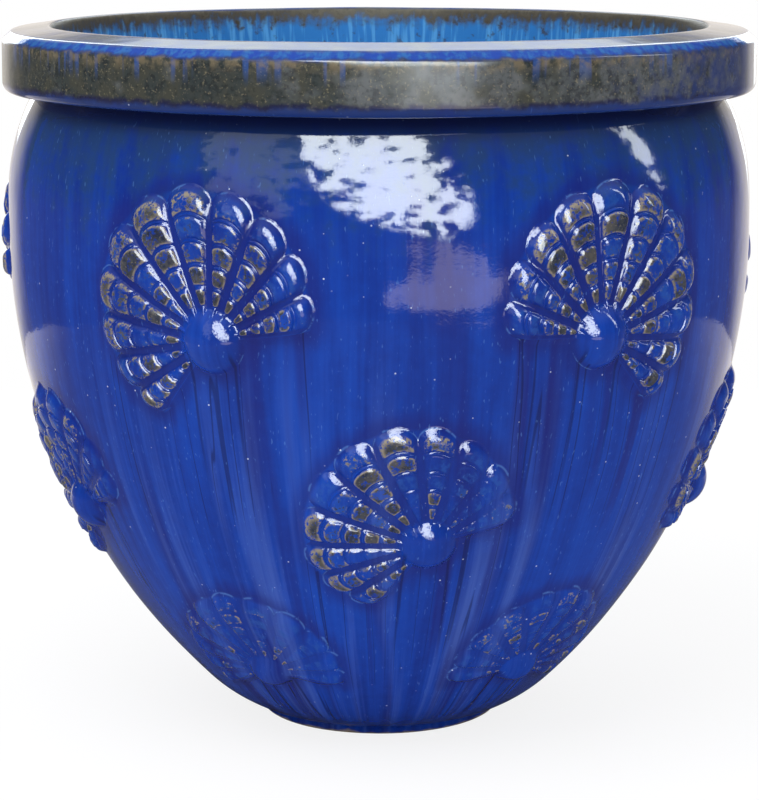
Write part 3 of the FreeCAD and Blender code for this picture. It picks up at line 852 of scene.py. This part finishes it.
def gathered(glaze, colour):
    """Glaze pooled in the sprigs' valleys and around them, with dark runs below."""
    gap = glaze.mark("shell_gap")
    outside = ramp(gap, -4 * MM, 0.0)
    around = ramp(gap + (glaze.middle - 0.5) * (20 * MM), 18 * MM, 1 * MM)
    pool = around * outside + glaze.mark("valley") * (1.0 - outside)
    colour = mix(pool * 0.55, colour, INDIGO)
    # Broad dark runs and thin lines
    run = glaze.mark("run") * outside
    wide = ramp(glaze.streak(20, 600, 37.0, 1.0), 0.56, 0.66)
    colour = mix(ramp(run, 0.1, 0.6) * wide * 0.55, colour, INDIGO)
    line = glaze.streak(16, 900, 29.0, 1.0)
    thread = ramp(abs(line - 0.5), 0.014, 0.004)
    colour = mix(ramp(run * (glaze.broad + 0.5), 0.15, 0.4) * thread * 0.55, colour, NAVY)
    # A pair of dark runs from the sides of each boss
    aside = abs(glaze.mark("boss_right") + glaze.sway * 0.4)
    beside = ramp(abs(aside - 18 * MM), 1.8 * MM, 0.5 * MM)
    drop = glaze.mark("boss_drop")
    fall = ramp(drop, 150 * MM, 50 * MM) * ramp(drop, 4 * MM, 14 * MM)
    return mix(beside * fall * 0.55, colour, NAVY)


def cobalt_colour(glaze):
    """Streaky, gathered cobalt with a pale line round the sprigs, dashes and specks."""
    colour = gathered(glaze, streaky_cobalt(glaze))
    hem = glaze.mark("hem") * ramp(glaze.broken, 0.48, 0.6)
    colour = mix(hem * 0.4, colour, PALE_BLUE)
    dashes = ramp(glaze.streak(1.6, 5, 83.0, 0.0), 0.72, 0.82) * ramp(glaze.broken, 0.42, 0.62)
    colour = mix(dashes * 0.32, colour, PALE_BLUE)
    specks = glaze.specks(6, 0.07, 0.3) * ramp(glaze.broken, 0.35, 0.65)
    return mix(specks * 0.8, colour, WHITE)


def mottled(glaze, dark, light, soot):
    """Metallic glaze between two tones, with soot-black mottle and tan grains."""
    coarse = glaze.mottle(18, 1.7)
    fine = glaze.mottle(4.5, 2.9)
    colour = mix(ramp(coarse, 0.38, 0.64), dark, light)
    colour = mix(ramp(fine * 0.65 + coarse * 0.35, 0.52, 0.38) * soot, colour, SOOT)
    grains = ramp(glaze.mottle(2.2, 4.1, 2.0), 0.58, 0.72)
    return mix(grains * 0.4, colour, TAN)


def inner_colour(glaze):
    """Inside of the pot: brown lip, turquoise with aqua runs, browner towards the floor."""
    runs, blotch = glaze.streak(9, 60, 41.0), glaze.mottle(8, 8.0)
    level = glaze.height + (runs - 0.5) * (16 * MM) + (blotch - 0.5) * (24 * MM)
    blue = mix(ramp(glaze.streak(5, 50, 47.0), 0.46, 0.68) * 0.6, TURQUOISE, AQUA)
    blue = mix(ramp(level, RIM_TOP - 40 * MM, 0.4) * 0.7, blue, DEEP_BLUE)
    blue = mix(ramp(level, 0.4, 0.05) * 0.7, blue, UMBER)
    brown = mix(ramp(level, RIM_TOP + 2 * MM, RIM_TOP - 12 * MM) * 0.7, LIP_BROWN, UMBER)
    colour = mix(ramp(level, RIM_TOP - 6 * MM, RIM_TOP - 22 * MM), brown, blue)
    return mix(ramp(blotch, 0.58, 0.7) * 0.6, colour, UMBER)


def cobalt_glaze():
    """Wall: cobalt, with painted shade in the corner under the rim, and the inner colours inside."""
    glaze = Glaze("cobalt_glaze", 0.06)
    # Painted shade: the wall darkens to navy in the corner under the rim's overhang
    corner = ramp(glaze.height, NECK_HEIGHT - 22 * MM, NECK_HEIGHT - 4 * MM)
    outside = mix(corner * 0.85, cobalt_colour(glaze), NAVY)
    inside = ramp(glaze.mark("inside"), 0.4, 0.6)
    return glaze.finish(mix(inside, outside, inner_colour(glaze)))


def shell_glaze():
    """Sprigs: light blue where the glaze thins over a pad, tan at its edges, olive on top."""
    glaze = Glaze("shell_glaze", 0.07)
    pad, thin = glaze.mark("pad"), glaze.mark("thin")
    patches, grain = glaze.mottle(8, 9.7), glaze.mottle(2.5, 6.6)
    light = ramp(pad, 0.2, 0.8) * ramp(patches, 0.42, 0.62)
    colour = mix(light * 0.5, cobalt_colour(glaze), PAD_BLUE)
    ragged = thin * 0.8 + (patches - 0.5) * 1.1 + (grain - 0.5) * 0.9 + 0.08
    edge = ramp(pad, 0.2, 0.45) * ramp(pad, 0.92, 0.62)
    colour = mix(edge * ramp(ragged, 0.36, 0.56) * ramp(grain, 0.36, 0.54) * 0.85, colour, TAN)
    olive = ramp(ragged, 0.44, 0.66) * ramp(pad, 0.5, 0.8) * 0.9
    return glaze.finish(mix(olive, colour, mottled(glaze, OLIVE, BRONZE, 0.7)))


# Outer face of the rim, its flat top and its throat
FACE_LOW = NECK_HEIGHT + RIM_ROUND / 2
FACE_HIGH = RIM_TOP - RIM_FALL - RIM_BEVEL_DROP
FLAT_HEIGHT = RIM_TOP - RIM_FALL
THROAT_RADIUS = rim_inside + RIM_FLARE
RIM_ROUGHNESS = 0.08


def rim_olive(glaze, level):
    """Olive of the rim's face: worn to taupe, blue drips, ochre upper edge, dark lower one."""
    worn = ramp(glaze.mottle(34, 7.7) + glaze.x / BELLY_RADIUS * 0.16, 0.46, 0.62) * 0.65
    olive = mottled(glaze, mix(worn, SLATE, DRIFT), mix(worn, MOSS, TAUPE), 0.5)
    drips = ramp(glaze.streak(10, 500, 61.0), 0.55, 0.64)
    olive = mix(drips * ramp(level, FACE_HIGH - 22 * MM, FACE_HIGH) * 0.6, olive, PAD_BLUE)
    scuffed = ramp(glaze.mottle(9, 5.9), 0.4, 0.62)
    olive = mix(ramp(level, FACE_HIGH - 12 * MM, FACE_HIGH - 2 * MM) * scuffed * 0.6, olive, OCHRE)
    lower_edge = ramp(level, FACE_LOW + 8 * MM, FACE_LOW + 4 * MM)
    return mix(lower_edge * ramp(glaze.mottle(14, 3.1), 0.34, 0.5) * 0.8, olive, NAVY)


def rim_blue(glaze, level):
    """Cobalt of the rim, with a streaky bright blue on the bevel."""
    streaks = glaze.streak(6, 20, 71.0) + glaze.mottle(5, 2.4)
    bright = mix(ramp(streaks, 0.85, 1.2), BRIGHT_BLUE, BEVEL_BLUE)
    bevel = ramp(level, FACE_HIGH, FACE_HIGH + 3 * MM)
    return mix(bevel * 0.75, mix(0.35, cobalt_colour(glaze), INDIGO), bright)


def rim_stone(glaze):
    """Top of the rim: stone blue and taupe, browner towards both ends."""
    stone = mix(ramp(glaze.mottle(25, 3.8), 0.4, 0.62), STONE_BLUE, TAUPE)
    stone = mix(ramp(glaze.mottle(5, 1.3), 0.54, 0.68) * 0.5, stone, SLATE)
    ends = ramp(abs(glaze.x) / BELLY_RADIUS, 0.55, 0.95)
    return mix(ends * ramp(glaze.mottle(16, 6.2), 0.3, 0.6) * 0.8, stone, LIP_BROWN)


def rim_glaze():
    """Rim: olive face, cobalt in places, stone-blue top, less shiny throat."""
    glaze = Glaze("rim_glaze", RIM_ROUGHNESS)
    level = glaze.height + (glaze.mottle(16, 2.2) - 0.5) * (9 * MM)
    face = ramp(level, FACE_LOW, FACE_LOW + 5 * MM) * ramp(level, FACE_HIGH + 2 * MM, FACE_HIGH - 2 * MM)
    right_end = ramp(glaze.x / BELLY_RADIUS + (glaze.mottle(14, 9.1) - 0.5) * 0.9, 0.55, 1.0)
    around = ramp(glaze.streak(220, 1000, 51.0, 1.0), 0.7, 0.58) * (1.0 - right_end * 0.8)
    colour = mix(face * around, rim_blue(glaze, level), rim_olive(glaze, level))
    ragged = glaze.height + (glaze.mottle(12, 8.8) - 0.5) * (4 * MM)
    top = ramp(ragged, FLAT_HEIGHT - 2 * MM, FLAT_HEIGHT + 1 * MM)
    colour = mix(top * 0.85, colour, rim_stone(glaze))
    throat = ramp(glaze.radius, THROAT_RADIUS + 2 * MM, THROAT_RADIUS)
    glaze.set("Specular IOR Level", 0.5 - throat * 0.38)
    glaze.set("Roughness", RIM_ROUGHNESS + throat * 0.35 + face * around * 0.12)
    return glaze.finish(mix(throat, colour, inner_colour(glaze)))


# Edge of the glazed floor inside the pot
FLOOR_GLAZE_START = 146 * MM
FLOOR_GLAZE_FULL = 140 * MM


def foot_clay():
    """Foot slab: bare clay below, cobalt on its side, inner colours on the floor."""
    glaze = Glaze("foot_clay", 0.35, CLAY_IOR)
    grog = ramp(glaze.mottle(3, 1.1), 0.55, 0.75)
    clay = mix(grog * 0.5, CLAY, UMBER)
    line = glaze.height + (glaze.mottle(20, 4.4) - 0.5) * (8 * MM)
    glazed = ramp(line, 0.5 * MM, 3 * MM) * ramp(glaze.radius, FOOT_RADIUS - 5 * MM, FOOT_RADIUS - 3 * MM)
    floor = ramp(glaze.height, FLOOR_HEIGHT - 3 * MM, FLOOR_HEIGHT - 1 * MM)
    floor = floor * ramp(glaze.radius, FLOOR_GLAZE_START, FLOOR_GLAZE_FULL)
    colour = mix(glazed, clay, cobalt_colour(glaze))
    glaze.set("Roughness", 0.75 - glazed.at_least(floor) * 0.68)
    return glaze.finish(mix(floor, colour, inner_colour(glaze)))


SLOTS = {
    "cobalt_glaze": cobalt_glaze(),
    "shell_glaze": shell_glaze(),
    "rim_glaze": rim_glaze(),
    "foot_clay": foot_clay(),
}


def keep(piece, node):
    """Map a piece's glaze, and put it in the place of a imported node."""
    map_glaze(piece)
    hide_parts(node)
    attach(piece, "root")


turning = turning_tree()
for node, points, slot, rise in (
    ("pot_wall", wall_points, "cobalt_glaze", 0.0),
    ("rim_ring", rim_points, "rim_glaze", 0.6),
    ("base_slab", slab_points, "foot_clay", 0.0),
):
    settings = {"Steps around": STEPS_AROUND, "Rise and fall": rise, "Glaze": SLOTS[slot]}
    keep(grow(f"{node}_glazed", turning, points, True, settings), node)

sprig = sprig_tree()
wall_path = outline.stretch(outline.foot_length, outline.neck_length, PATH_STEP)
for row, sprigs in SHELL_ROWS.items():
    for number, (azimuth, lean, flood, flood_right) in enumerate(sprigs, 1):
        node = f"shell_{row}_{number}"
        settings = {
            "Azimuth": azimuth * DEGREE, "Lean": lean * DEGREE, "Boss length": ROW_LENGTHS[row],
            "Scale": ROW_SCALES[row], "Flood": flood, "Flood to the right": flood_right,
            "Seed": number + 10.0 * len(row), "Columns": SPRIG_COLUMNS, "Rows": SPRIG_ROWS,
            "Glaze": SLOTS["shell_glaze"],
        }
        keep(grow(f"{node}_glazed", sprig, wall_path, False, settings), node)

# The photo's own view
FOCAL_LENGTH = 125.6  # millimetres, as the width of the sensor
SENSOR_WIDTH = 36
VIEW_SHIFT = 0.0005
EYE = (0.0, -2.4, 0.7265)
LOOK_DOWN = 10.73 * DEGREE

# Floor: a pale disc that keeps the planter's shadow; glazes mirror it greyer, and paler far behind
FLOOR_RADIUS = 1.6
FLOOR_SIDES = 96
FLOOR_PALE = (0.95, 0.95, 0.95, 1)
FLOOR_GREY = (0.15, 0.15, 0.15, 1)
FLOOR_CREAM = (0.95, 0.88, 0.80, 1)
SHADOW_FADE = 0.84
SEEN_WHITE = (1, 1, 1, 1)

# Sky: white to the eye, even and soft as light; glazes mirror bright gaps between dim trees
LIGHT_BELOW = (0.75, 0.75, 0.76, 1)
LIGHT_ABOVE = (1.05, 1.06, 1.08, 1)
GROUND = (0.14, 0.13, 0.12, 1)
TREES = (0.06, 0.075, 0.08, 1)
ZENITH = (0.40, 0.45, 0.52, 1)
CREAM = (1.0, 0.93, 0.84, 1)
DAYLIGHT = (0.90, 0.97, 1.0)
BRICK = (1.0, 0.85, 0.78)
# Each gap: azimuth and elevation, half widths, slant, raggedness, brightness, colour
SKY_GAPS = (
    (0, 26, 23, 30, 0.5, 1.0, 15.0, DAYLIGHT), (90, 30, 4, 24, 0.2, 1.0, 8.0, DAYLIGHT),
    (180, 34, 34, 20, 0.0, 0.0, 1.5, DAYLIGHT), (163, 24, 8, 27, 0.0, 0.5, 4.0, DAYLIGHT),
    (-162, 24, 8, 27, 0.0, 0.5, 5.5, DAYLIGHT), (-42, 26, 17, 24, 0.3, 1.0, 1.1, DAYLIGHT),
    (22, -11.4, 20, 4.0, 0.0, 0.4, 2.4, BRICK),
)

# Overhead lamp
LAMP_SIZE = 2.5
LAMP_POWER = 60
LAMP_PLACE = (-0.8, -1.6, 3.2)
LAMP_AIM = (0.0, 0.0, 0.3)


def set_camera():
    view = bpy.data.cameras.new("camera")
    view.lens = FOCAL_LENGTH
    view.sensor_width = SENSOR_WIDTH
    view.shift_x = VIEW_SHIFT
    camera = in_scene("camera", view)
    camera.location = EYE
    camera.rotation_euler = (math.pi / 2 - LOOK_DOWN, 0.0, 0.0)
    bpy.context.scene.camera = camera


def floor_paint():
    """Almost white to the eye, with colours of its own in a mirror."""
    material = bpy.data.materials.new("floor")
    material.use_nodes = True
    material.node_tree.nodes.clear()
    paint = Graph(material.node_tree)

    def blend(share, first, second):
        return paint.node("ShaderNodeMixShader", {0: share, 1: first.outputs[0], 2: second.outputs[0]})

    path = paint.node("ShaderNodeLightPath")
    pale = paint.node("ShaderNodeBsdfDiffuse", {"Color": FLOOR_PALE})
    glow = paint.node("ShaderNodeEmission", {"Color": SEEN_WHITE})
    faint = blend(SHADOW_FADE, pale, blend(path.outputs["Is Camera Ray"], pale, glow))
    away = paint.split(paint.term("ShaderNodeTexCoord", output="Object"))[1]
    mirrored = mix(ramp(away, 0.1, 1.4), FLOOR_GREY, FLOOR_CREAM)
    grey = paint.node("ShaderNodeBsdfDiffuse", {"Color": mirrored})
    either = blend(path.outputs["Is Glossy Ray"], faint, grey)
    paint.node("ShaderNodeOutputMaterial", {0: either.outputs[0]})
    return material


def floor_disc():
    mesh = bpy.data.meshes.new("floor")
    turns = [index * math.tau / FLOOR_SIDES for index in range(FLOOR_SIDES)]
    edge = [(FLOOR_RADIUS * math.cos(turn), FLOOR_RADIUS * math.sin(turn), 0.0) for turn in turns]
    mesh.from_pydata(edge, [], [tuple(range(FLOOR_SIDES))])
    mesh.materials.append(floor_paint())
    return in_scene("floor", mesh)


def mirrored_sky(sky, ray):
    """Ground, dim trees, a brighter zenith, and bright gaps between the leaves."""
    x, y, z = sky.split(ray)
    leaves = (sky.noise(ray, 11.0, 6.0, 0.65) - 0.5) * 4.0
    elevation = sky.math("ARCSINE", z)
    colour = mix(ramp(z, -0.12, 0.08), GROUND, TREES)
    colour = mix(ramp(z, 0.35, 0.9), colour, ZENITH)
    # Bright ground far behind the planter lights its edges
    behind = ramp(y, 0.74, 0.92) * ramp(abs(z + 0.02), 0.30, 0.12)
    colour = mix(behind, colour, CREAM)
    for azimuth, height, wide, tall, slant, ragged, strength, tint in SKY_GAPS:
        turn = azimuth * DEGREE
        ahead = x * math.sin(turn) - y * math.cos(turn)
        side = x * math.cos(turn) + y * math.sin(turn)
        climb = elevation - height * DEGREE
        bearing = sky.math("ARCTAN2", side, ahead) + climb * slant
        off = root((bearing / (wide * DEGREE)) ** 2.0 + (climb / (tall * DEGREE)) ** 2.0)
        gap = ramp(off * 0.7 + leaves * ragged, 0.75, 0.6) * ramp(off, 1.15, 1.0)
        colour = mix(gap, colour, (*(strength * share for share in tint), 1))
    return colour


def set_sky():
    world = bpy.data.worlds.new("sky")
    bpy.context.scene.world = world
    world.use_nodes = True
    world.node_tree.nodes.clear()
    sky = Graph(world.node_tree)
    path = sky.node("ShaderNodeLightPath")
    ray = sky.term("ShaderNodeTexCoord", output="Generated")
    even = mix(ramp(sky.split(ray)[2], -0.2, 1.0), LIGHT_BELOW, LIGHT_ABOVE)
    light = mix(path.outputs["Is Glossy Ray"], even, mirrored_sky(sky, ray))
    seen = mix(path.outputs["Is Camera Ray"], light, SEEN_WHITE)
    background = sky.node("ShaderNodeBackground", {"Color": seen})
    sky.node("ShaderNodeOutputWorld", {0: background.outputs[0]})


def set_lamp():
    light = bpy.data.lights.new("overhead", "AREA")
    light.shape = "DISK"
    light.size = LAMP_SIZE
    light.energy = LAMP_POWER
    lamp = in_scene("overhead", light)
    lamp.location = LAMP_PLACE
    lamp.rotation_euler = (Vector(LAMP_AIM) - lamp.location).to_track_quat("-Z", "Y").to_euler()
    lamp.visible_glossy = False


set_camera()
floor = floor_disc()
set_sky()
set_lamp()
bpy.context.scene.view_settings.view_transform = "Standard"
